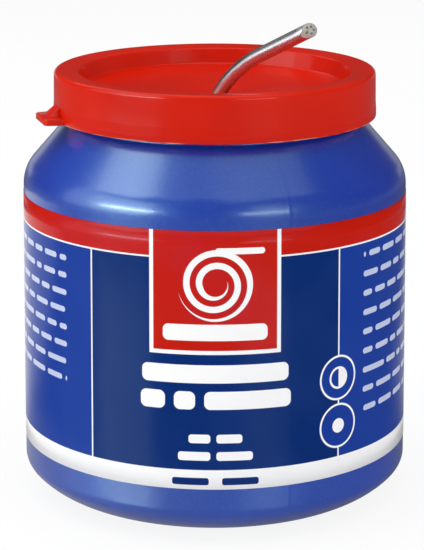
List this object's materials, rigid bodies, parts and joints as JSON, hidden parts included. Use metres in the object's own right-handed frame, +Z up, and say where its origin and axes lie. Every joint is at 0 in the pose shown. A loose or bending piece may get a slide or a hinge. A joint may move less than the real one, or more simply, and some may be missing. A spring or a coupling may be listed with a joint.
{
  "type": "solder wire dispenser jar",
  "caption": "Round blow-moulded jar with a push-on lid and lift tab. A loose coil of cored solder wire inside feeds out through the lid.",
  "frame": {"origin": "centre of the base, at the height of the surface that the jar stands on", "axes": "+Z up out of the lid, -Y towards the front of the label, +X to the right as the front is seen"},
  "size_m": [0.0812, 0.0812, 0.1004],
  "materials": {
    "jar_plastic": "satin blow-moulded polyethylene",
    "label_film": "printed film, semi-gloss",
    "lid_plastic": "injection-moulded, soft gloss",
    "solder": "bare drawn tin-lead alloy, bright with fine draw lines",
    "flux": "dull rosin"
  },
  "bodies": {
    "jar": {"jar": "jar_plastic", "label": "label_film"},
    "coil": {"coil_core": "solder", "coil_turns": "solder"},
    "lid": {"lid": "lid_plastic"},
    "wire": {"wire_riser": "solder", "wire_end": "solder", "flux_cores": "flux"}
  },
  "joints": [
    {"name": "lid_lift", "type": "slide", "parent": "jar", "child": "lid", "axis": [0, 0, 1], "range_m": [0, 0.03]},
    {"name": "wire_draw", "type": "slide", "parent": "lid", "child": "wire", "axis": [0, 0, 1], "range_m": [0, 0.03]},
    {"name": "coil_turn", "type": "hinge", "parent": "jar", "child": "coil", "pos_m": [0, 0, 0.0036], "axis": [0, 0, 1], "continuous": true}
  ]
}
